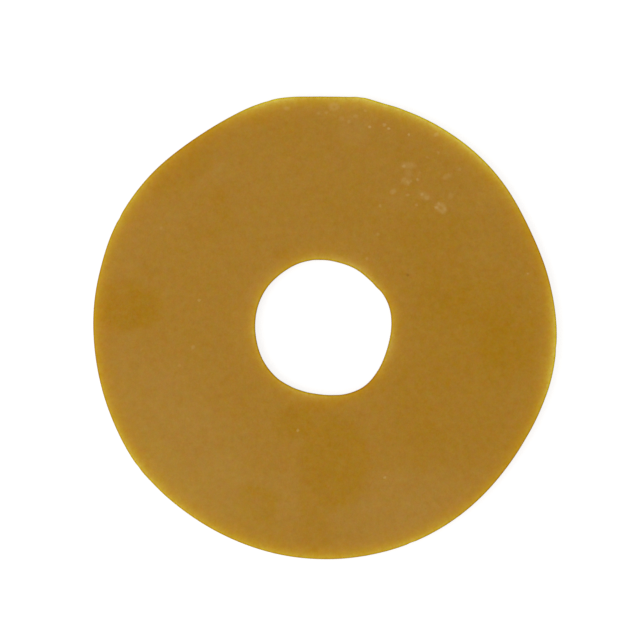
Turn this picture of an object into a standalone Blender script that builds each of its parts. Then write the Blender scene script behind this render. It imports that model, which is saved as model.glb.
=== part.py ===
"""A flat washer of amber gum rubber for a lavatory cistern's flush pipe.

It is one piece of 3 mm sheet rubber, cut by hand: a disc 85 mm across with a hole of
25 mm, which is stretched over the pipe. Neither cut is a true circle. Units are metres,
+Z is up, and the origin is the disc's centre on its lower face. Seen from above with +Y
up, bearings run anticlockwise from +X.
"""
import math

import bpy

# The washer as it was marked out
OUTSIDE_DIAMETER = 0.0850
HOLE_DIAMETER = 0.0251
THICKNESS = 0.0030
ARRIS_ROUND = 0.00022

# Where the hole's centre lies from the disc's centre
HOLE_SHIFT_X = -0.00015
HOLE_SHIFT_Y = -0.00009

# The most that each cut strays from its true circle
RIM_STRAY = 0.00060
HOLE_STRAY = 0.00054

# Each stray is a bearing in degrees, a share of the most that the cut strays, outward
# where it is positive, and the degrees to either side over which it fades
RIM_STRAYS = [
    (354, 0.60, 13),
    (25, -1.00, 13),
    (62, 0.22, 14),
    (80, 0.50, 4),
    (103, 0.77, 7),
    (122, -0.63, 11),
    (151, 0.40, 13),
    (191, -0.28, 18),
    (216, 0.38, 9),
    (240, -0.28, 14),
    (290, 0.33, 20),
    (324, -0.38, 12),
]
HOLE_STRAYS = [
    (18, 0.37, 14),
    (46, -0.44, 10),
    (68, -0.37, 16),
    (110, 0.24, 14),
    (148, 0.35, 20),
    (258, -0.81, 20),
    (304, 1.00, 18),
    (344, -0.37, 16),
]

# Points along each cut, and facets across each rounded edge
RIM_POINTS = 180
HOLE_POINTS = 96
ARRIS_FACETS = 2

GUM_AMBER = (0.381, 0.191, 0.024, 1.0)
GUM_ROUGHNESS = 0.62


def cut_radius(bearing, radius, stray, strays):
    """The radius of a cut at a bearing: a circle with smooth swells and flats."""
    swell = 0.0
    for centre, share, fade in strays:
        away = (bearing - centre + 180.0) % 360.0 - 180.0
        swell += share * math.exp(-((away / fade) ** 2))
    return radius + stray * swell


def add_cut(curve, points, centre, radius, stray, strays):
    """Adds one closed cut to a flat outline, as a polyline around its centre."""
    spline = curve.splines.new("POLY")
    spline.points.add(points - 1)
    spline.use_cyclic_u = True
    for index, point in enumerate(spline.points):
        bearing = 360.0 * index / points
        reach = cut_radius(bearing, radius, stray, strays)
        angle = math.radians(bearing)
        x = centre[0] + reach * math.cos(angle)
        y = centre[1] + reach * math.sin(angle)
        point.co = (x, y, 0.0, 1.0)


def gum_rubber():
    """Plain amber rubber with a dull face."""
    material = bpy.data.materials.new("amber gum rubber")
    material.use_nodes = True
    shader = material.node_tree.nodes["Principled BSDF"]
    shader.inputs["Base Color"].default_value = GUM_AMBER
    shader.inputs["Roughness"].default_value = GUM_ROUGHNESS
    shader.inputs["Metallic"].default_value = 0.0
    return material


def make_washer(collection):
    """The disc with its hole, lying flat, with its sharp edges rubbed round."""
    outline = bpy.data.curves.new("washer", "CURVE")
    outline.dimensions = "2D"
    outline.fill_mode = "BOTH"
    add_cut(outline, RIM_POINTS, (0.0, 0.0), OUTSIDE_DIAMETER / 2, RIM_STRAY, RIM_STRAYS)
    hole_centre = (HOLE_SHIFT_X, HOLE_SHIFT_Y)
    add_cut(outline, HOLE_POINTS, hole_centre, HOLE_DIAMETER / 2, HOLE_STRAY, HOLE_STRAYS)
    outline.extrude = THICKNESS / 2 - ARRIS_ROUND
    outline.bevel_depth = ARRIS_ROUND
    outline.bevel_resolution = ARRIS_FACETS - 1
    outline.offset = -ARRIS_ROUND
    outline.materials.append(gum_rubber())
    washer = bpy.data.objects.new("washer", outline)
    washer.location = (0.0, 0.0, THICKNESS / 2)
    collection.objects.link(washer)
    return washer


for old in list(bpy.data.objects):
    bpy.data.objects.remove(old, do_unlink=True)

flush_pipe_washer = bpy.data.collections.new("flush pipe washer")
bpy.context.scene.collection.children.link(flush_pipe_washer)
make_washer(flush_pipe_washer)
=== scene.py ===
import math

import bpy
import numpy as np
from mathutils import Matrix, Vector, noise


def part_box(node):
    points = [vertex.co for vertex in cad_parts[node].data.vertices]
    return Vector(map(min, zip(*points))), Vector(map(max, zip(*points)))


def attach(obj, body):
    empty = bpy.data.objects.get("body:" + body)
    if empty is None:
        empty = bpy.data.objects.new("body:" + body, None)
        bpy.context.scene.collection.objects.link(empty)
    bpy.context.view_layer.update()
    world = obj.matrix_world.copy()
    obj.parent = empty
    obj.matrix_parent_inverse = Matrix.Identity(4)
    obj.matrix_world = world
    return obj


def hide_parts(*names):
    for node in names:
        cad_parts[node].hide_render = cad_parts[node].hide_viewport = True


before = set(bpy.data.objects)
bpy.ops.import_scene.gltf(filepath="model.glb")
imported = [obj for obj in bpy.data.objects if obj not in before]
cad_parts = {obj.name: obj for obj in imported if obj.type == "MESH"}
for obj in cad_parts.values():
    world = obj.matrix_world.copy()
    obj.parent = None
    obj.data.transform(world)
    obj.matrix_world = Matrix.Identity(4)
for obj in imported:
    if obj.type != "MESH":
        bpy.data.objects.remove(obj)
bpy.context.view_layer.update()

MM = 0.001

# The two cuts
# The washer is one disc of amber gum rubber with a hole, both cut by hand out of a flat
# sheet, so neither line is a true circle. The lines are read from the CAD solid, at the
# full width of its wall, and drawn as smooth curves with the finer wandering of the blade.
AROUND = 720
LINE_STEPS = 1440
SMOOTHING = 9
WALL_SHARE = 0.45

# How far the blade strayed outward: bearing, millimetres, and how many degrees it lasted
RIM_OUT = 0.055
RIM_WANDERS = [
    (8, -0.080, 8),
    (57, -0.030, 5),
    (72, 0.070, 2.2),
    (81, 0.120, 2.0),
    (89, -0.040, 2),
    (93, -0.050, 3),
    (97, 0.045, 4),
    (106, -0.080, 2.5),
    (109, 0.090, 8),
    (116, 0.035, 6),
    (130, -0.105, 7),
    (143, -0.060, 8),
    (164, -0.065, 5),
    (176, 0.040, 8),
    (222, -0.060, 3),
    (238, 0.035, 8),
    (283, -0.040, 7),
    (331, -0.045, 3),
    (346, 0.060, 5),
]
HOLE_OUT = -0.010
HOLE_WANDERS = [
    (37, -0.110, 4),
    (67, 0.050, 10),
    (75, -0.035, 8),
    (98, 0.050, 4),
    (113, 0.020, 12),
    (192, -0.045, 12),
    (237, -0.060, 6),
    (257, 0.060, 6),
    (287, 0.050, 6),
    (325, 0.035, 6),
]

sheet_low, sheet_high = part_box("washer")
SHEET = sheet_high[2] - sheet_low[2]
sheet_middle = (sheet_low[2] + sheet_high[2]) / 2
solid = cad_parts["washer"]
corners = np.array([solid.matrix_world @ corner.co for corner in solid.data.vertices])
wall = corners[np.abs(corners[:, 2] - sheet_middle) < WALL_SHARE * SHEET]
wall_reach = np.hypot(wall[:, 0], wall[:, 1])
half_way = (wall_reach.min() + wall_reach.max()) / 2
bearings = np.arange(AROUND) * 2 * math.pi / AROUND


def cut_line(points, centre, out, wanders):
    """A cut's places in the plan at every bearing from its centre, in metres."""
    away = points[:, :2] - centre
    seen_at = np.arctan2(away[:, 1], away[:, 0])
    order = np.argsort(seen_at)
    reach = np.hypot(away[:, 0], away[:, 1])
    steps = np.arange(LINE_STEPS) * 2 * math.pi / LINE_STEPS
    line = np.interp(steps, seen_at[order], reach[order], period=2 * math.pi)
    weights = np.hanning(SMOOTHING + 2)[1:-1]
    spare = SMOOTHING // 2
    padded = np.concatenate([line[-spare:], line, line[:spare]])
    line = np.convolve(padded, weights / weights.sum(), mode="valid")
    radius = np.interp(bearings, steps, line, period=2 * math.pi) + out * MM
    for middle, most, lasted in wanders:
        past = (np.degrees(bearings) - middle + 180) % 360 - 180
        radius += most * MM * np.exp(-((past / lasted) ** 2))
    return centre + np.column_stack([radius * np.cos(bearings), radius * np.sin(bearings)])


rim_centre = np.array([0.0, 0.0])
rim = cut_line(wall[wall_reach > half_way], rim_centre, RIM_OUT, RIM_WANDERS)
hole_points = wall[wall_reach < half_way]
hole_centre = (hole_points[:, :2].min(axis=0) + hole_points[:, :2].max(axis=0)) / 2
hole = cut_line(hole_points, hole_centre, HOLE_OUT, HOLE_WANDERS)

# The sheet between the cuts
# Calendered gum sheet, 3 mm thick, flat to a few hundredths of a millimetre, with a slow
# swell from the rolls. The blade leaves the walls a little dished, with drag lines along
# them and a nick wherever it was lifted. Handling has rubbed the sharp edges round.
ARRIS = 0.22 * MM
ARRIS_ROWS = 4
UPPER_ROWS = 52
LOWER_ROWS = 22
WALL_ROWS = 9
CROWDING = 0.62
SWELL = 0.022 * MM
SWELL_LENGTH = 9.0 * MM
DISH = 0.045 * MM
DRAG = 0.028 * MM
DRAG_LENGTH = 7.0 * MM
DRAG_HEIGHT = 0.35 * MM
NICK = 0.07 * MM
NICK_WIDTH = math.radians(0.9)
NICK_LEAN = math.radians(0.7) / MM
WALLS_APART = 7.0
FACES_APART = 3.0
WALL_DEPTH = 0.20
BLADE_LIFTS = [math.radians(bearing) for bearing in (80, 103, 151, 216, 291, 354)]

UPPER, LOWER = 1.0, -1.0
RIM, HOLE = 1.0, -1.0


def face_rows(count, side):
    """Rows across a face from hole to rim, closest together beside the cuts."""
    rows = []
    for index in range(count):
        even = index / (count - 1)
        share = even - CROWDING * math.sin(2 * math.pi * even) / (2 * math.pi)
        height = SHEET / 2 * side
        rows.append((share, ARRIS * (1 - 2 * share), height, side, 0.0))
    return rows


def arris_rows(cut, side):
    """Rows round a rubbed edge, from the face to the wall, without its two ends."""
    rows = []
    for index in range(1, ARRIS_ROWS):
        turn = math.pi / 2 * index / ARRIS_ROWS
        inset = -cut * ARRIS * (1 - math.sin(turn))
        height = side * (SHEET / 2 - ARRIS * (1 - math.cos(turn)))
        rows.append(((1 + cut) / 2, inset, height, side * math.cos(turn), cut * math.sin(turn)))
    return rows


def wall_rows(cut):
    """Rows down a cut wall, from its upper edge to its lower one."""
    rows = []
    for index in range(WALL_ROWS):
        height = (SHEET / 2 - ARRIS) * (1 - 2 * index / (WALL_ROWS - 1))
        rows.append(((1 + cut) / 2, 0.0, height, 0.0, cut))
    return rows


# One section of the ring, round from the hole over the upper face and back underneath
section = face_rows(UPPER_ROWS, UPPER)
section += arris_rows(RIM, UPPER) + wall_rows(RIM) + arris_rows(RIM, LOWER)[::-1]
section += face_rows(LOWER_ROWS, LOWER)[::-1]
section += arris_rows(HOLE, LOWER) + wall_rows(HOLE)[::-1] + arris_rows(HOLE, UPPER)[::-1]


def blade_mark(bearing, height, cut):
    """How deep the blade cut past the line here, in metres: dish, drag lines and nicks."""
    dish = DISH * (1 - (2 * height / SHEET) ** 2)
    place = Vector((
        half_way * math.cos(bearing) / DRAG_LENGTH,
        half_way * math.sin(bearing) / DRAG_LENGTH,
        height / DRAG_HEIGHT + WALLS_APART * cut,
    ))
    drag = DRAG * noise.noise(place)
    nick = 0.0
    if cut == RIM:
        for lift in BLADE_LIFTS:
            away = (bearing - lift - NICK_LEAN * height + math.pi) % (2 * math.pi) - math.pi
            nick = max(nick, NICK * math.exp(-((away / NICK_WIDTH) ** 2)))
    return dish + drag + nick


def roll_swell(x, y, side):
    """How far the face sinks below dead flat here, in metres."""
    place = Vector((x / SWELL_LENGTH, y / SWELL_LENGTH, FACES_APART * side))
    return SWELL * (0.5 + 0.5 * noise.noise(place))


points = []
rim_depths = []
hole_depths = []
for column, bearing in enumerate(bearings):
    inner, outer = Vector(hole[column]), Vector(rim[column])
    outward = (outer - inner).normalized()
    for share, inset, height, faces, walls in section:
        plan = inner.lerp(outer, share) + outward * inset
        if walls:
            cut = math.copysign(1.0, walls)
            plan -= outward * walls * blade_mark(bearing, height, cut)
        down_wall = max(SHEET / 2 - ARRIS - abs(height), 0.0) * WALL_DEPTH
        rim_depths.append(((plan - outer).length + down_wall) / MM)
        hole_depths.append(((plan - inner).length + down_wall) / MM)
        level = height
        if faces:
            level -= faces * roll_swell(plan.x, plan.y, math.copysign(1.0, faces))
        points.append((plan.x, plan.y, sheet_middle + level))

rows = len(section)
quads = []
for column in range(AROUND):
    here = column * rows
    there = (column + 1) % AROUND * rows
    for row in range(rows):
        after = (row + 1) % rows
        quads.append((here + row, here + after, there + after, there + row))

washer_mesh = bpy.data.meshes.new("gum_washer")
washer_mesh.from_pydata(points, [], quads)
washer_mesh.update()
washer_mesh.shade_smooth()
washer = bpy.data.objects.new("gum_washer", washer_mesh)
bpy.context.scene.collection.objects.link(washer)

# The light in the cut edges
# Gum rubber lets some light through, so light that enters by the cut walls glows yellow
# in the faces beside them. This glow is painted light: it is added to the colour of the
# faces and walls, fading with depth from each cut. It is strongest where the blade leaned out.

# Swells of the glow: bearing, rise, and how many degrees they take to fade
RIM_GLOW = 0.72
RIM_GLOWS = [
    (21, -0.22, 14),
    (52, 0.83, 16),
    (76, 0.80, 18),
    (80, 0.46, 4),
    (94, -0.16, 4),
    (103, 1.12, 8),
    (125, -0.32, 9),
    (150, 0.35, 10),
    (184, -0.07, 20),
    (216, 0.14, 6),
    (222, 0.45, 22),
    (260, 0.27, 13),
    (289, 0.40, 15),
    (323, -0.23, 10),
    (350, 0.93, 8),
    (2, 0.62, 8),
]
HOLE_GLOW = 0.69
HOLE_GLOWS = [
    (23, -0.17, 9),
    (60, 0.30, 24),
    (95, 0.08, 14),
    (119, -0.15, 6),
    (147, -0.12, 9),
    (184, 0.08, 9),
    (218, -0.18, 9),
    (256, 0.17, 14),
    (288, -0.10, 9),
    (310, -0.50, 20),
    (323, 0.21, 14),
    (345, 0.27, 10),
]


def glow_round(plain, swells):
    """The strength of the glow at each bearing: a plain level with swells, each fading."""
    strength = np.full(AROUND, plain)
    degrees = np.degrees(bearings)
    for centre, rise, fade in swells:
        away = (degrees - centre + 180) % 360 - 180
        strength += rise * np.exp(-((away / fade) ** 2))
    return strength


def keep_on_mesh(name, values):
    """Keeps one number at each point of the washer, for its materials to read."""
    kept = washer_mesh.attributes.new(name, "FLOAT", "POINT")
    kept.data.foreach_set("value", np.asarray(values, dtype=np.float32))


keep_on_mesh("rim_depth", rim_depths)
keep_on_mesh("hole_depth", hole_depths)
keep_on_mesh("edge_depth", np.minimum(rim_depths, hole_depths))
keep_on_mesh("rim_glow", np.repeat(glow_round(RIM_GLOW, RIM_GLOWS), rows))
keep_on_mesh("hole_glow", np.repeat(glow_round(HOLE_GLOW, HOLE_GLOWS), rows))


def feed(tree, value, socket):
    """Gives a socket a plain value, or links it to another node's output."""
    if isinstance(value, bpy.types.NodeSocket):
        tree.links.new(value, socket)
    else:
        socket.default_value = value


def add_node(tree, kind, **settings):
    """A new node with its settings given by name."""
    made = tree.nodes.new(kind)
    for name, value in settings.items():
        setattr(made, name, value)
    return made


def work_out(tree, operation, *values):
    """The result of one Math node."""
    made = add_node(tree, "ShaderNodeMath", operation=operation)
    for value, socket in zip(values, made.inputs):
        feed(tree, value, socket)
    return made.outputs["Value"]


def fading(tree, value, start, end):
    """1 up to the start and 0 past the end, with a smooth fall between them."""
    made = add_node(tree, "ShaderNodeMapRange", interpolation_type="SMOOTHSTEP")
    feed(tree, value, made.inputs["Value"])
    feed(tree, start, made.inputs["From Min"])
    feed(tree, end, made.inputs["From Max"])
    made.inputs["To Min"].default_value = 1.0
    made.inputs["To Max"].default_value = 0.0
    return made.outputs["Result"]


def new_group(name, takes, gives):
    """A node group with named inputs and outputs: its tree, what it takes and gives."""
    tree = bpy.data.node_groups.new(name, "ShaderNodeTree")
    for label, kind, value in takes:
        socket = tree.interface.new_socket(label, in_out="INPUT", socket_type=kind)
        socket.default_value = value
    for label, kind in gives:
        tree.interface.new_socket(label, in_out="OUTPUT", socket_type=kind)
    taken = tree.nodes.new("NodeGroupInput").outputs
    given = tree.nodes.new("NodeGroupOutput").inputs
    return tree, taken, given


def use_group(tree, group, **values):
    """One placing of a node group, fed by the labels of its inputs with _ for a space."""
    made = add_node(tree, "ShaderNodeGroup", node_tree=group)
    for label, value in values.items():
        feed(tree, value, made.inputs[label.replace("_", " ")])
    return made.outputs


NUMBER, COLOUR, PLACE = "NodeSocketFloat", "NodeSocketColor", "NodeSocketVector"

# The light fades with depth, each colour by its own reach in millimetres, with a weak tail
# that goes four times as deep. Red gets in even where the cut is dull, and blue only where
# it is bright: each colour adds its lead to the strength, and rises with a power of it.
LEADS = {"Red": 0.6, "Green": 0.0, "Blue": -0.4}
POWERS = {"Red": 1.0, "Green": 1.0, "Blue": 1.5}
TAIL_REACH = 4.0
edge_light, takes, gives = new_group(
    "cut edge light",
    [
        ("Depth", NUMBER, 0.0),
        ("Strength", NUMBER, 1.0),
        ("Reach Red", NUMBER, 1.18),
        ("Reach Green", NUMBER, 0.81),
        ("Reach Blue", NUMBER, 0.36),
        ("Edge Red", NUMBER, 0.133),
        ("Edge Green", NUMBER, 0.218),
        ("Tail", NUMBER, 0.030),
        ("Edge Blue", NUMBER, 0.098),
    ],
    [("Color", COLOUR)],
)
light_colour = add_node(edge_light, "ShaderNodeCombineColor")
for channel, lead in LEADS.items():
    depths = work_out(edge_light, "DIVIDE", takes["Depth"], takes["Reach " + channel])
    left = work_out(edge_light, "EXPONENT", work_out(edge_light, "MULTIPLY", depths, -1.0))
    deeper = work_out(edge_light, "MULTIPLY", depths, -1 / TAIL_REACH)
    deeper = work_out(edge_light, "EXPONENT", deeper)
    left = work_out(edge_light, "MULTIPLY_ADD", deeper, takes["Tail"], left)
    entering = work_out(edge_light, "ADD", takes["Strength"], lead)
    entering = work_out(edge_light, "MAXIMUM", entering, 0.0)
    entering = work_out(edge_light, "POWER", entering, POWERS[channel])
    entering = work_out(edge_light, "MULTIPLY", entering, takes["Edge " + channel])
    lit = work_out(edge_light, "MULTIPLY", entering, left)
    feed(edge_light, lit, light_colour.inputs[channel])
feed(edge_light, light_colour.outputs["Color"], gives["Color"])


def kept_number(tree, name):
    """A number kept on the washer's mesh, as a node output."""
    return add_node(tree, "ShaderNodeAttribute", attribute_name=name).outputs["Fac"]


def mix_colours(tree, kind, amount, under, over):
    """One Mix Color node's result."""
    made = add_node(tree, "ShaderNodeMix", data_type="RGBA", blend_type=kind)
    feed(tree, amount, made.inputs["Factor"])
    feed(tree, under, made.inputs[6])
    feed(tree, over, made.inputs[7])
    return made.outputs[2]


def noise_at(tree, place, length, detail, roughness=0.5, shift=0.0):
    """Noise whose lumps are about so many of the place's own units long, near -1 to 1."""
    lumps = add_node(tree, "ShaderNodeTexNoise", noise_dimensions="4D")
    feed(tree, place, lumps.inputs["Vector"])
    feed(tree, work_out(tree, "DIVIDE", 1.0, length), lumps.inputs["Scale"])
    lumps.inputs["W"].default_value = shift
    lumps.inputs["Detail"].default_value = detail
    lumps.inputs["Roughness"].default_value = roughness
    centred = work_out(tree, "SUBTRACT", lumps.outputs["Fac"], 0.5)
    return work_out(tree, "MULTIPLY", centred, 4.0)


GLOW_LUMPS = 0.9
# Painted shade on the rounded edges of the cuts
ARRIS_SHADE = (0.83, 0.73, 1.0, 1.0)

# Where the painted shade of the rounded edge and its clearest amber fade out, by depth in
# millimetres
ARRIS_SHADE_FROM, ARRIS_SHADE_TO = 0.05, 0.24
AMBER_FROM, AMBER_TO = 0.22, 0.42

# The hole's light: how far red, green and blue reach, and green and blue at the edge
HOLE_REACH = (1.0, 0.70, 0.55)
HOLE_EDGE = (0.237, 0.16)


def add_edge_light(tree, colour, place, amber, lumpiness):
    """Adds the painted glow of the rim and of the hole to a colour, and paints shade on the
    rounded edges.
    """
    lumps = noise_at(tree, place, GLOW_LUMPS, detail=2.0, roughness=1.0)
    uneven = work_out(tree, "MULTIPLY_ADD", lumps, lumpiness, 1.0)
    from_rim = use_group(
        tree, edge_light,
        Depth=kept_number(tree, "rim_depth"),
        Strength=work_out(tree, "MULTIPLY", kept_number(tree, "rim_glow"), uneven),
    )
    from_hole = use_group(
        tree, edge_light,
        Depth=kept_number(tree, "hole_depth"),
        Strength=work_out(tree, "MULTIPLY", kept_number(tree, "hole_glow"), uneven),
        Reach_Red=HOLE_REACH[0], Reach_Green=HOLE_REACH[1], Reach_Blue=HOLE_REACH[2],
        Edge_Green=HOLE_EDGE[0], Edge_Blue=HOLE_EDGE[1],
    )
    lit = mix_colours(tree, "ADD", 1.0, colour, from_rim["Color"])
    lit = mix_colours(tree, "ADD", 1.0, lit, from_hole["Color"])
    edge_depth = kept_number(tree, "edge_depth")
    # Painted shade on the rounded edges, fading out with depth
    arris_shaded = fading(tree, edge_depth, ARRIS_SHADE_FROM, ARRIS_SHADE_TO)
    lit = mix_colours(tree, "MULTIPLY", arris_shaded, lit, ARRIS_SHADE)
    clearest = fading(tree, edge_depth, AMBER_FROM, AMBER_TO)
    return mix_colours(tree, "MULTIPLY", clearest, lit, amber)


# The skin of the sheet
# Both faces keep the dull skin of the rolls. Wax has bloomed on it as a pale haze, thumbs
# have wiped it clear in patches that look darker and cleaner, and grains of talc have
# stuck to it, most of them at the upper right. Among the patches, a pale one at the upper
# right is painted light, and a broad dark one over the right half is painted shade.
GUM = (0.370, 0.182, 0.0175, 1.0)
HAZED_AND_LIT = (0.387, 0.200, 0.0305, 1.0)
GREENED = (0.396, 0.222, 0.0270, 1.0)
WIPED_AND_SHADED = (0.351, 0.166, 0.0034, 1.0)
BROWNED = (0.366, 0.168, 0.0065, 1.0)
CLEAR = (0.371, 0.182, 0.0006, 1.0)
FRESH_CUT = (0.318, 0.132, 0.0020, 1.0)
AMBER_EDGE = (1.0, 1.0, 0.02, 1.0)
TALC = (0.475, 0.282, 0.0820, 1.0)
GRIT = (0.280, 0.130, 0.0080, 1.0)

# How far the cuts have cleaned the skin, and where the rubbed edges end, in millimetres
CLEANED_REACH = 0.9
RUBBED_FROM, RUBBED_TO = 0.10, 0.38

SKIN_GLOW_LUMPINESS = 0.32
SKIN_ROUGHNESS = 0.58
BLOOM_DULLS = 0.10
WIPING_POLISHES = -0.12
TALC_DULLS = 0.25
GRAIN_DULLS = 0.02
TALC_STANDS = 1.5
SKIN_RELIEF = 0.012 * MM
SKIN_BUMP = 0.35
SKIN_GLOSS = 0.10

# Patches: place and half sizes in millimetres, turn in degrees, softness, strength
WIPES_AND_SHADE = [
    ((-36.6, 4.0), (5.4, 4.8), 0, 0.25, 0.56),
    ((-32.8, 1.0), (1.6, 1.6), 0, 0.5, 0.30),
    ((-33.6, 2.9), (3.0, 3.2), -40, 0.25, 0.42),
    ((-33.5, 4.8), (4.0, 0.8), -50, 0.5, 0.35),
    ((-31.0, 4.2), (1.6, 3.2), 10, 0.5, 0.28),
    ((-33.0, 10.5), (2.8, 1.0), 0, 0.6, 0.25),
    ((-27.0, 28.0), (7.0, 2.6), 42, 0.6, 0.28),
    ((-22.6, 31.2), (2.2, 4.2), -15, 0.6, 0.28),
    ((-23.0, 17.2), (4.2, 0.9), 8, 0.6, 0.28),
    ((-17.2, 19.6), (1.7, 0.9), -20, 0.6, 0.30),
    ((2.0, -24.4), (6.2, 8.6), 6, 0.25, 0.72),
    ((-5.6, -17.2), (3.8, 3.0), 20, 0.4, 0.66),
    ((-1.4, -37.0), (2.4, 5.0), 0, 0.5, 0.36),
    ((-3.8, -31.0), (1.2, 4.0), 0, 0.5, 0.25),
    ((21.4, 7.6), (5.4, 4.2), 0, 0.5, 0.36),
    ((25.0, 2.4), (6.6, 3.0), -10, 0.6, 0.36),
    ((30.6, 5.6), (5.0, 3.4), 0, 0.6, 0.24),
    ((33.4, -3.2), (5.0, 5.4), 12, 0.55, 0.62),
    ((36.4, 2.2), (3.4, 3.2), 0, 0.6, 0.18),
    ((16.4, -15.6), (3.4, 6.6), 10, 0.7, 0.20),
    ((18.8, -20.2), (3.2, 4.6), 0, 0.7, 0.20),
    ((23.2, -7.8), (6.2, 4.2), 0, 0.8, 0.20),
    ((-12.5, -38.3), (6.5, 1.8), -18, 0.6, 0.32),
    ((-34.8, -21.2), (2.0, 3.4), 35, 0.6, 0.22),
    ((21.2, 30.0), (2.4, 2.2), 0, 0.7, 0.16),
    ((-2.0, -39.9), (3.4, 1.6), 0, 0.6, 0.16),
    ((29.4, 28.9), (2.6, 1.8), -45, 0.6, 0.38),
    ((18.6, 17.4), (6.4, 4.4), 0, 0.8, 0.32),
    ((24.6, 18.6), (3.0, 2.6), 0, 0.7, 0.20),
    ((4.8, 22.4), (6.0, 4.4), 0, 0.8, 0.22),
    ((14.0, 33.4), (0.9, 3.2), 5, 0.6, 0.30),
    ((-15.2, -13.8), (2.8, 2.4), 0, 0.8, 0.15),
    # Painted shade, not a wipe: this broad patch darkens the right half, where less light falls
    ((27.0, -6.0), (15.0, 24.0), 0, 0.8, 0.34),
]
BROWNS = [
    ((-38.2, 2.6), (3.6, 3.8), 0, 0.5, 0.68),
    ((-1.5, -14.3), (4.3, 1.3), 4, 0.5, 0.80),
    ((-25.2, 25.2), (2.2, 1.4), 42, 0.6, 0.20),
    ((-11.8, 38.4), (2.6, 1.3), 18, 0.6, 0.66),
    ((-27.4, 28.6), (5.4, 1.4), 42, 0.6, 0.34),
    ((-7.4, 13.6), (1.7, 0.9), 30, 0.5, 0.50),
    ((-6.4, 35.8), (3.2, 2.6), 0, 0.6, 0.38),
    ((-19.2, 22.8), (1.4, 3.4), 5, 0.6, 0.60),
    ((-4.4, 31.0), (3.4, 2.2), 20, 0.8, 0.12),
    ((5.2, 36.2), (3.6, 2.8), 0, 0.6, 0.80),
    ((31.0, -34.0), (3.0, 1.4), 40, 0.6, 0.40),
]
HAZES_AND_LIGHT = [
    ((-26.4, -20.0), (8.4, 16.0), 37, 0.7, 0.55),
    ((-29.4, -9.6), (3.6, 2.6), 0, 0.7, 0.30),
    ((-24.4, -17.4), (3.2, 2.8), 0, 0.7, 0.28),
    ((-19.0, -25.6), (3.6, 2.4), 20, 0.7, 0.32),
    ((-16.2, -28.4), (2.6, 1.6), 35, 0.7, 0.22),
    ((-6.5, -33.6), (1.8, 3.0), 0, 0.6, 0.46),
    ((-7.0, -27.6), (2.0, 2.0), 0, 0.6, 0.25),
    ((-36.8, -4.8), (2.2, 4.6), 0, 0.6, 0.30),
    ((13.8, -31.4), (9.6, 4.8), 14, 0.6, 0.55),
    ((22.6, -28.0), (5.4, 2.6), 22, 0.6, 0.35),
    ((8.6, -32.2), (1.9, 1.7), 0, 0.7, 0.40),
    ((16.6, -33.4), (3.4, 2.4), 15, 0.7, 0.32),
    ((12.6, -27.4), (3.0, 2.4), 0, 0.7, 0.30),
    ((3.0, -36.0), (3.0, 3.4), 0, 0.6, 0.26),
    ((14.0, -37.0), (11.0, 2.4), 20, 0.6, 0.40),
    # Painted light, not bloom: this patch lightens the upper right of the face
    ((26.0, 22.0), (5.0, 4.0), 0, 0.8, 0.15),
    ((5.4, 36.4), (3.3, 2.9), 0, 0.5, 0.80),
    ((26.0, -31.4), (8.4, 3.2), 42, 0.7, 0.50),
    ((-10.6, -28.2), (3.8, 1.5), -10, 0.7, 0.44),
    ((-14.9, -1.2), (1.6, 3.4), 0, 0.7, 0.24),
    ((3.6, 39.4), (5.0, 1.4), -4, 0.6, 0.10),
    ((-36.0, 13.8), (2.8, 5.8), -24, 0.6, 0.34),
    ((-29.6, 19.6), (3.8, 3.8), 0, 0.8, 0.30),
    ((-18.6, 28.6), (2.2, 1.8), 20, 0.6, 0.45),
    ((-22.2, 27.0), (5.0, 0.7), 42, 0.6, 0.35),
    ((-11.6, 8.0), (4.6, 1.5), 55, 0.6, 0.75),
    ((12.2, -4.6), (1.8, 1.2), 70, 0.6, 0.34),
    ((13.4, 2.2), (1.0, 1.4), 0, 0.6, 0.40),
    ((29.8, 14.0), (2.4, 2.2), 0, 0.7, 0.25),
    ((35.8, -14.4), (1.8, 2.6), 0, 0.7, 0.40),
]
GREENS = [
    ((-16.5, -35.2), (10.4, 3.1), -27, 0.6, 0.39),
    ((-29.5, -25.0), (2.6, 8.0), 40, 0.6, 0.45),
    ((-20.4, -27.2), (4.4, 3.0), 20, 0.7, 0.30),
    ((-36.4, -12.6), (2.6, 5.4), 15, 0.6, 0.20),
    ((-7.6, -32.4), (2.0, 3.2), 0, 0.6, 0.15),
    ((30.8, -25.2), (2.8, 2.6), 0, 0.7, 0.16),
    ((30.0, 27.0), (8.0, 2.8), -47, 0.6, 0.18),
    ((-1.6, -32.4), (2.4, 4.4), 0, 0.6, 0.15),
    ((-31.0, -16.2), (3.0, 4.0), 30, 0.7, 0.14),
    ((4.0, 40.2), (6.0, 1.6), -4, 0.6, 0.22),
]

# A drop dried here and left a clear ring, strongest along its top and right. Beside the
# numbers of a patch, each mark has how far its middle is hollow.
DRIED = (0.370, 0.182, 0.0006, 1.0)
DROP_MARKS = [
    ((-12.4, -32.6), (4.0, 3.6), -15, 0.20, 0.28, 1.0),
    ((-12.2, -30.2), (2.8, 0.9), -12, 0.4, 0.42, 0.0),
    ((-9.9, -32.0), (0.9, 2.2), 12, 0.4, 0.50, 0.0),
]

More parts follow.
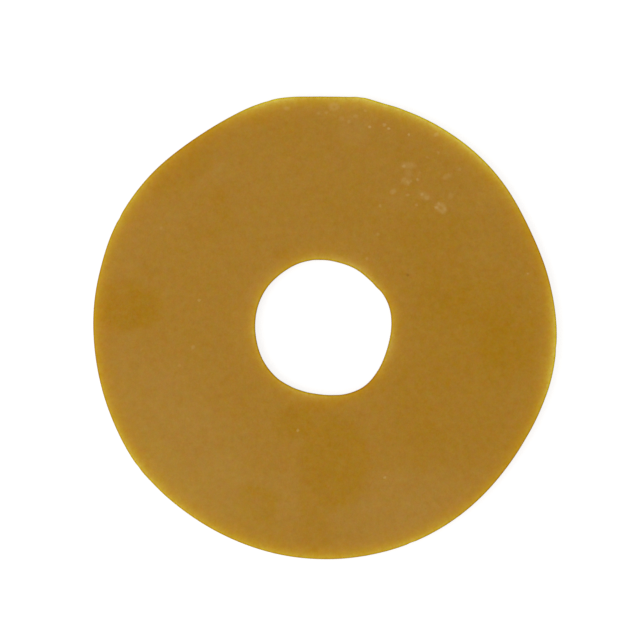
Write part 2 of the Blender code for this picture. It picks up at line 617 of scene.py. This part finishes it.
# Grains of talc: place and half sizes in millimetres, turn in degrees, hollow, strength
TALC_GRAINS = [
    ((14.7, 29.7), (0.38, 0.30), 0, 0.0, 0.80),
    ((15.5, 29.8), (1.25, 0.60), 0, 0.0, 0.36),
    ((16.2, 29.9), (0.22, 0.44), 0, 0.0, 0.40),
    ((15.5, 28.4), (0.70, 0.80), 20, 0.0, 0.24),
    ((12.9, 23.0), (1.30, 1.20), 0, 0.0, 0.09),
    ((14.7, 27.2), (0.50, 0.34), 30, 0.3, 0.45),
    ((15.0, 27.0), (0.90, 0.70), 20, 0.0, 0.24),
    ((15.4, 26.7), (0.32, 0.48), 20, 0.0, 0.55),
    ((15.9, 26.9), (0.28, 0.24), 0, 0.0, 0.40),
    ((17.2, 27.2), (0.26, 0.26), 0, 0.0, 0.62),
    ((17.7, 28.5), (0.28, 0.22), 0, 0.0, 0.20),
    ((15.4, 24.4), (0.34, 0.28), 0, 0.0, 0.42),
    ((18.0, 24.5), (0.30, 0.28), 0, 0.0, 0.80),
    ((18.9, 23.9), (0.52, 0.40), -20, 0.2, 0.62),
    ((18.5, 24.2), (1.05, 0.70), -35, 0.0, 0.28),
    ((17.0, 22.6), (0.26, 0.26), 0, 0.0, 0.40),
    ((21.5, 22.0), (1.06, 0.78), -40, 0.8, 0.62),
    ((20.7, 22.1), (0.36, 0.30), 0, 0.0, 0.90),
    ((21.1, 22.8), (0.36, 0.28), 0, 0.0, 0.76),
    ((22.2, 21.8), (0.30, 0.42), 10, 0.0, 0.70),
    ((21.8, 21.2), (0.36, 0.26), 20, 0.0, 0.52),
    ((21.1, 32.2), (0.24, 0.24), 0, 0.0, 0.42),
    ((19.0, 31.3), (0.28, 0.24), 0, 0.0, 0.34),
    ((22.2, 27.6), (0.34, 0.26), 20, 0.0, 0.34),
    ((22.5, 27.8), (0.85, 0.45), 25, 0.0, 0.30),
    ((21.2, 28.4), (0.28, 0.26), 0, 0.0, 0.18),
    ((23.3, 24.2), (0.50, 0.60), 0, 0.0, 0.30),
    ((24.9, 29.1), (0.34, 0.28), 0, 0.0, 0.30),
    ((12.7, 25.0), (0.50, 0.42), 30, 0.2, 0.50),
    ((10.3, 22.4), (0.30, 0.28), 0, 0.0, 0.44),
    ((9.9, 17.2), (0.28, 0.28), 0, 0.0, 0.32),
    ((7.9, 12.7), (0.30, 0.28), 0, 0.0, 0.34),
    ((15.6, 35.5), (0.18, 0.18), 0, 0.0, 0.90),
    ((20.6, 35.5), (0.48, 0.34), 30, 0.0, 0.50),
    ((8.4, 36.9), (0.26, 0.24), 0, 0.0, 1.00),
    ((11.1, 37.3), (0.32, 0.26), 0, 0.0, 0.70),
    ((11.9, 36.6), (0.26, 0.22), 0, 0.0, 1.00),
    ((5.8, 38.9), (0.40, 0.32), 0, 0.2, 0.42),
    ((3.2, 38.4), (0.46, 0.40), 0, 0.0, 0.25),
    ((7.6, 39.9), (0.28, 0.26), 0, 0.0, 0.38),
    ((4.6, 37.9), (0.30, 0.30), 0, 0.0, 0.38),
    ((1.9, 40.6), (0.85, 0.68), 10, 0.9, 0.50),
    ((-1.0, 39.4), (0.28, 0.26), 0, 0.0, 0.32),
    ((0.4, 39.5), (0.28, 0.24), 0, 0.0, 0.44),
    ((-6.9, 40.3), (0.46, 0.34), 0, 0.0, 0.45),
    ((-23.0, 5.0), (0.28, 0.24), 0, 0.0, 0.50),
    ((-24.1, -3.6), (0.36, 0.30), 40, 0.0, 0.42),
    ((-26.6, -7.0), (0.28, 0.28), 0, 0.0, 0.25),
    ((-4.8, -18.9), (0.26, 0.24), 0, 0.0, 0.62),
    ((11.2, -27.6), (0.22, 0.20), 0, 0.0, 0.75),
    ((-30.0, 18.3), (0.26, 0.26), 0, 0.0, 0.28),
    ((37.5, 9.9), (0.18, 0.18), 0, 0.0, 0.65),
    ((37.9, 2.8), (0.22, 0.22), 0, 0.0, 0.20),
]
GRIT_PLACE = (15.4, 9.7)
GRIT_SIZE = (0.26, 0.22)
GRAIN_SOFTNESS = 0.6

# A soft patch is an ellipse that fades out at its edge, and its middle may be hollow
HOLLOW_REACH = 0.7
soft_patch, takes, gives = new_group(
    "soft patch",
    [
        ("Place", PLACE, (0, 0, 0)),
        ("Centre", PLACE, (0, 0, 0)),
        ("Half Size", PLACE, (1, 1, 1)),
        ("Turn", NUMBER, 0.0),
        ("Softness", NUMBER, 0.5),
        ("Hollow", NUMBER, 0.0),
        ("Strength", NUMBER, 1.0),
    ],
    [("Mask", NUMBER)],
)
away = add_node(soft_patch, "ShaderNodeVectorMath", operation="SUBTRACT")
feed(soft_patch, takes["Place"], away.inputs[0])
feed(soft_patch, takes["Centre"], away.inputs[1])
turned = add_node(soft_patch, "ShaderNodeVectorRotate", rotation_type="Z_AXIS", invert=True)
feed(soft_patch, away.outputs["Vector"], turned.inputs["Vector"])
feed(soft_patch, takes["Turn"], turned.inputs["Angle"])
shares = add_node(soft_patch, "ShaderNodeVectorMath", operation="DIVIDE")
feed(soft_patch, turned.outputs["Vector"], shares.inputs[0])
feed(soft_patch, takes["Half Size"], shares.inputs[1])
distance = add_node(soft_patch, "ShaderNodeVectorMath", operation="LENGTH")
feed(soft_patch, shares.outputs["Vector"], distance.inputs[0])
full = work_out(soft_patch, "SUBTRACT", 1.0, takes["Softness"])
spent = work_out(soft_patch, "ADD", 1.0, takes["Softness"])
inside = fading(soft_patch, distance.outputs["Value"], full, spent)
dip = fading(soft_patch, distance.outputs["Value"], 0.0, HOLLOW_REACH)
dip = work_out(soft_patch, "MULTIPLY", dip, takes["Hollow"])
inside = work_out(soft_patch, "MAXIMUM", work_out(soft_patch, "SUBTRACT", inside, dip), 0.0)
feed(soft_patch, work_out(soft_patch, "MULTIPLY", inside, takes["Strength"]), gives["Mask"])


# Uneven tone of the gum itself: a common step of light and dark, and a step of its own
# for each colour, which leans the gum to olive, brown or cream from place to place
TONE_SHARE = 0.25
LEAN_SHIFT = 9.0
gum_mottle, takes, gives = new_group(
    "gum mottle",
    [
        ("Place", PLACE, (0, 0, 0)),
        ("Color", COLOUR, (0.4, 0.2, 0.02, 1)),
        ("Length", NUMBER, 1.3),
        ("Tone", PLACE, (0.085, 0.058, 0.036)),
        ("Tint", PLACE, (0.130, 0.088, 0.038)),
    ],
    [("Color", COLOUR), ("Grain", NUMBER)],
)
grain = noise_at(gum_mottle, takes["Place"], takes["Length"], detail=3.0, roughness=1.0)
toned = add_node(gum_mottle, "ShaderNodeVectorMath", operation="SCALE")
feed(gum_mottle, takes["Tone"], toned.inputs[0])
feed(gum_mottle, work_out(gum_mottle, "MULTIPLY", grain, TONE_SHARE), toned.inputs["Scale"])
leans = add_node(gum_mottle, "ShaderNodeTexNoise", noise_dimensions="4D")
feed(gum_mottle, takes["Place"], leans.inputs["Vector"])
feed(gum_mottle, work_out(gum_mottle, "DIVIDE", 1.0, takes["Length"]), leans.inputs["Scale"])
for label, value in (("W", LEAN_SHIFT), ("Detail", 3.0), ("Roughness", 1.0)):
    leans.inputs[label].default_value = value
centred = add_node(gum_mottle, "ShaderNodeVectorMath", operation="SUBTRACT")
feed(gum_mottle, leans.outputs["Color"], centred.inputs[0])
centred.inputs[1].default_value = (0.5, 0.5, 0.5)
tinted = add_node(gum_mottle, "ShaderNodeVectorMath", operation="MULTIPLY_ADD")
feed(gum_mottle, centred.outputs["Vector"], tinted.inputs[0])
feed(gum_mottle, takes["Tint"], tinted.inputs[1])
feed(gum_mottle, toned.outputs["Vector"], tinted.inputs[2])
joined = add_node(gum_mottle, "ShaderNodeVectorMath", operation="ADD")
feed(gum_mottle, takes["Color"], joined.inputs[0])
feed(gum_mottle, tinted.outputs["Vector"], joined.inputs[1])
held = add_node(gum_mottle, "ShaderNodeVectorMath", operation="MAXIMUM")
feed(gum_mottle, joined.outputs["Vector"], held.inputs[0])
held.inputs[1].default_value = (0.0, 0.0, 0.0)
feed(gum_mottle, held.outputs["Vector"], gives["Color"])
feed(gum_mottle, grain, gives["Grain"])


def new_material(name):
    """A material with its tree and its one shader."""
    material = bpy.data.materials.new(name)
    material.use_nodes = True
    return material, material.node_tree, material.node_tree.nodes["Principled BSDF"]


def place_in_mm(tree):
    """Where a point of the washer is, in millimetres from the disc's centre."""
    scaled = add_node(tree, "ShaderNodeVectorMath", operation="SCALE")
    feed(tree, add_node(tree, "ShaderNodeTexCoord").outputs["Object"], scaled.inputs[0])
    scaled.inputs["Scale"].default_value = 1 / MM
    return scaled.outputs["Vector"]


def strayed(tree, place, length, most):
    """A place pushed about by noise, so that what is drawn there has a ragged edge."""
    push = add_node(tree, "ShaderNodeTexNoise")
    feed(tree, place, push.inputs["Vector"])
    push.inputs["Scale"].default_value = 1 / length
    push.inputs["Detail"].default_value = 3.0
    centred = add_node(tree, "ShaderNodeVectorMath", operation="SUBTRACT")
    feed(tree, push.outputs["Color"], centred.inputs[0])
    centred.inputs[1].default_value = (0.5, 0.5, 0.5)
    shifted = add_node(tree, "ShaderNodeVectorMath", operation="MULTIPLY_ADD")
    feed(tree, centred.outputs["Vector"], shifted.inputs[0])
    shifted.inputs[1].default_value = (most, most, 0.0)
    feed(tree, place, shifted.inputs[2])
    return shifted.outputs["Vector"]


def upper_patch(tree, place, middle, half, turn, softness, strength, hollow=0.0):
    """One soft patch on the upper face."""
    return use_group(
        tree, soft_patch,
        Place=place, Centre=(*middle, SHEET / MM), Half_Size=(*half, 1.0),
        Turn=math.radians(turn), Softness=softness, Hollow=hollow, Strength=strength,
    )["Mask"]


def all_patches(tree, place, patches):
    """The sum of soft patches, held to 1."""
    total = 0.0
    for middle, half, turn, softness, strength in patches:
        mask = upper_patch(tree, place, middle, half, turn, softness, strength)
        total = work_out(tree, "ADD", total, mask)
    return work_out(tree, "MINIMUM", total, 1.0)


skin, tree, shader = new_material("gum_rubber_skin")
place = place_in_mm(tree)
ragged = strayed(tree, place, length=3.0, most=1.8)
bent = strayed(tree, place, length=1.6, most=0.5)
frayed = strayed(tree, place, length=0.35, most=0.5)
wiped_and_shaded = all_patches(tree, ragged, WIPES_AND_SHADE)
browned = all_patches(tree, ragged, BROWNS)
hazed_and_lit = all_patches(tree, ragged, HAZES_AND_LIGHT)
greened = all_patches(tree, ragged, GREENS)
dropped = 0.0
for mark in DROP_MARKS:
    dropped = work_out(tree, "MAXIMUM", dropped, upper_patch(tree, bent, *mark))
talc = 0.0
for middle, half, turn, hollow, strength in TALC_GRAINS:
    mask = upper_patch(tree, frayed, middle, half, turn, GRAIN_SOFTNESS, strength, hollow)
    talc = work_out(tree, "MAXIMUM", talc, mask)
grit = upper_patch(tree, frayed, GRIT_PLACE, GRIT_SIZE, 0, GRAIN_SOFTNESS, 1.0)


# The heights in millimetres between which the lower face's drifts end, and the levels of
# noise between which they fade
LOWER_FROM, LOWER_TO = 1.0, 2.0
DRIFT_FROM, DRIFT_TO = -0.5, 0.2


def lower_drifts(tree, place, length, shift, strength):
    """Broad drifts over the lower face alone, each about so many millimetres long."""
    height = add_node(tree, "ShaderNodeSeparateXYZ")
    feed(tree, place, height.inputs["Vector"])
    underneath = fading(tree, height.outputs["Z"], LOWER_FROM, LOWER_TO)
    lumps = noise_at(tree, place, length, detail=3.0, shift=shift)
    drift = work_out(tree, "MULTIPLY", lumps, -1.0)
    drift = fading(tree, drift, DRIFT_FROM, DRIFT_TO)
    drift = work_out(tree, "MULTIPLY", drift, underneath)
    return work_out(tree, "MULTIPLY", drift, strength)


# The lower face has its own bloom and its own wiping
bloomed_below = lower_drifts(tree, place, length=14.0, shift=3.0, strength=0.8)
wiped_below = lower_drifts(tree, place, length=9.0, shift=6.0, strength=0.6)
hazed_and_lit = work_out(tree, "MAXIMUM", hazed_and_lit, bloomed_below)
wiped_and_shaded = work_out(tree, "MAXIMUM", wiped_and_shaded, wiped_below)

edge_depth = kept_number(tree, "edge_depth")
rubbed = fading(tree, edge_depth, RUBBED_FROM, RUBBED_TO)
cleaned = work_out(tree, "DIVIDE", edge_depth, -CLEANED_REACH)
cleaned = work_out(tree, "EXPONENT", cleaned)

colour = mix_colours(tree, "MIX", browned, GUM, BROWNED)
# Bloom, and one patch of painted light at the upper right
colour = mix_colours(tree, "MIX", hazed_and_lit, colour, HAZED_AND_LIT)
colour = mix_colours(tree, "MIX", greened, colour, GREENED)
# Wiped patches, and a broad patch of painted shade over the right half
colour = mix_colours(tree, "MIX", wiped_and_shaded, colour, WIPED_AND_SHADED)
colour = mix_colours(tree, "MIX", dropped, colour, DRIED)
colour = mix_colours(tree, "MIX", cleaned, colour, CLEAR)
colour = mix_colours(tree, "MIX", rubbed, colour, FRESH_CUT)
mottled = use_group(tree, gum_mottle, Place=place, Color=colour)
colour = mix_colours(tree, "MIX", talc, mottled["Color"], TALC)
colour = mix_colours(tree, "MIX", grit, colour, GRIT)
# Painted light: the glow of the cuts is added to the colour, with painted shade on the rounded
# edges
colour = add_edge_light(tree, colour, place, AMBER_EDGE, SKIN_GLOW_LUMPINESS)
feed(tree, colour, shader.inputs["Base Color"])

dullness = work_out(tree, "MULTIPLY_ADD", hazed_and_lit, BLOOM_DULLS, SKIN_ROUGHNESS)
dullness = work_out(tree, "MULTIPLY_ADD", wiped_and_shaded, WIPING_POLISHES, dullness)
dullness = work_out(tree, "MULTIPLY_ADD", talc, TALC_DULLS, dullness)
dullness = work_out(tree, "MULTIPLY_ADD", mottled["Grain"], GRAIN_DULLS, dullness)
feed(tree, dullness, shader.inputs["Roughness"])

relief = work_out(tree, "MULTIPLY_ADD", talc, TALC_STANDS, mottled["Grain"])
bump = add_node(tree, "ShaderNodeBump")
bump.inputs["Strength"].default_value = SKIN_BUMP
bump.inputs["Distance"].default_value = SKIN_RELIEF
feed(tree, relief, bump.inputs["Height"])
feed(tree, bump.outputs["Normal"], shader.inputs["Normal"])
shader.inputs["Specular IOR Level"].default_value = SKIN_GLOSS
washer_mesh.materials.append(skin)

# The cut walls
# The blade leaves fresh rubber, without bloom or talc. It is a clearer amber than the
# skin, with the glow of the light within painted along its edges, and fine drag lines along the
# cut.
AMBER_WALL = (1.0, 0.84, 0.50, 1.0)
CALM_TINT = (0.065, 0.044, 0.019)
WALL_GLOW_LUMPINESS = 0.14
DRAG_STRETCH = (0.25, 0.25, 6.0)
DRAG_SHADES = 0.07
DRAG_DULLS = 0.04
CUT_ROUGHNESS = 0.46
CUT_RELIEF = 0.02 * MM
CUT_BUMP = 0.5
CUT_GLOSS = 0.12
fresh, tree, shader = new_material("gum_rubber_cut")
place = place_in_mm(tree)
stretched = add_node(tree, "ShaderNodeVectorMath", operation="MULTIPLY")
feed(tree, place, stretched.inputs[0])
stretched.inputs[1].default_value = DRAG_STRETCH
drags = noise_at(tree, stretched.outputs["Vector"], 1.0, detail=4.0, roughness=0.6)
mottled = use_group(tree, gum_mottle, Place=place, Color=FRESH_CUT, Tint=CALM_TINT)
# Painted light: the glow of the cuts is added to the colour, with painted shade on the rounded
# edges
colour = add_edge_light(tree, mottled["Color"], place, AMBER_WALL, WALL_GLOW_LUMPINESS)
streaked = add_node(tree, "ShaderNodeVectorMath", operation="SCALE")
feed(tree, colour, streaked.inputs[0])
streaks = work_out(tree, "MULTIPLY_ADD", drags, DRAG_SHADES, 1.0)
feed(tree, streaks, streaked.inputs["Scale"])
feed(tree, streaked.outputs["Vector"], shader.inputs["Base Color"])
dullness = work_out(tree, "MULTIPLY_ADD", drags, DRAG_DULLS, CUT_ROUGHNESS)
feed(tree, dullness, shader.inputs["Roughness"])
bump = add_node(tree, "ShaderNodeBump")
bump.inputs["Strength"].default_value = CUT_BUMP
bump.inputs["Distance"].default_value = CUT_RELIEF
feed(tree, drags, bump.inputs["Height"])
feed(tree, bump.outputs["Normal"], shader.inputs["Normal"])
shader.inputs["Specular IOR Level"].default_value = CUT_GLOSS
washer_mesh.materials.append(fresh)

SKIN_SLOT, CUT_SLOT = 0, 1
upright = [faces == 0.0 for share, inset, height, faces, walls in section]
for quad in washer_mesh.polygons:
    row = quad.index % rows
    on_wall = upright[row] and upright[(row + 1) % rows]
    quad.material_index = CUT_SLOT if on_wall else SKIN_SLOT

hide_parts("washer")
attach(washer, "root")

# The floor
# A plain sheet of white paper that keeps the washer's faint shadow. Its own grey is lifted
# to white for the camera alone, so that it throws no extra light on the washer.
FLOOR_SIZE = 3.0
FLOOR_DROP = 0.01 * MM
PAPER = (0.36, 0.36, 0.36, 1.0)
PAPER_LIFT = 0.76


def seen_directly(tree):
    """1 for the camera's rays and for those that it sends on by gloss or through glass."""
    light_path = tree.nodes.new("ShaderNodeLightPath")
    seen = light_path.outputs["Is Camera Ray"]
    for label in ("Is Glossy Ray", "Is Transmission Ray"):
        seen = work_out(tree, "MAXIMUM", seen, light_path.outputs[label])
    return seen


bpy.ops.mesh.primitive_plane_add(size=FLOOR_SIZE, location=(0, 0, sheet_low[2] - FLOOR_DROP))
floor = bpy.context.object
floor.name = "paper_floor"
paper, tree, shader = new_material("white_paper")
shader.inputs["Base Color"].default_value = PAPER
shader.inputs["Roughness"].default_value = 1.0
shader.inputs["Specular IOR Level"].default_value = 0.0
shader.inputs["Emission Color"].default_value = (1.0, 1.0, 1.0, 1.0)
feed(
    tree,
    work_out(tree, "MULTIPLY", seen_directly(tree), PAPER_LIFT),
    shader.inputs["Emission Strength"],
)
floor.data.materials.append(paper)

# The light
# An even white room, and one large soft lamp to the left of the camera and a little below
# it, which lights the left of the washer slightly more than the right.
ROOM = 0.72
LAMP_SPOT = (-0.34, -0.10, 0.58)
LAMP_SIZE = 0.50
LAMP_POWER = 1.745
lamp = bpy.data.lights.new("soft lamp", "AREA")
lamp.shape = "SQUARE"
lamp.size = LAMP_SIZE
lamp.energy = LAMP_POWER
lamp_object = bpy.data.objects.new("soft lamp", lamp)
lamp_object.location = LAMP_SPOT
lamp_object.rotation_euler = Vector(LAMP_SPOT).to_track_quat("Z", "Y").to_euler()
bpy.context.scene.collection.objects.link(lamp_object)

room = bpy.data.worlds.new("white room")
bpy.context.scene.world = room
room.use_nodes = True
tree = room.node_tree
background = tree.nodes["Background"]
background.inputs["Color"].default_value = (1.0, 1.0, 1.0, 1.0)
level = work_out(tree, "MULTIPLY_ADD", seen_directly(tree), 1.0 - ROOM, ROOM)
feed(tree, level, background.inputs["Strength"])

# The camera
# It looks straight down from a metre away through a long lens, so that the walls hardly
# show. The washer lies a little right of the picture's middle, and below it.
VIEW_WIDTH = 117.7 * MM
LENS = 300.0
SENSOR = 36.0
LOOKED_AT = (-0.75 * MM, 1.40 * MM)
camera = bpy.data.cameras.new("camera")
camera.lens = LENS
camera.sensor_width = SENSOR
camera.clip_start = 0.01
camera_object = bpy.data.objects.new("camera", camera)
camera_object.location = (*LOOKED_AT, sheet_high[2] + VIEW_WIDTH * LENS / SENSOR)
bpy.context.scene.collection.objects.link(camera_object)
bpy.context.scene.camera = camera_object
bpy.context.scene.view_settings.view_transform = "Standard"
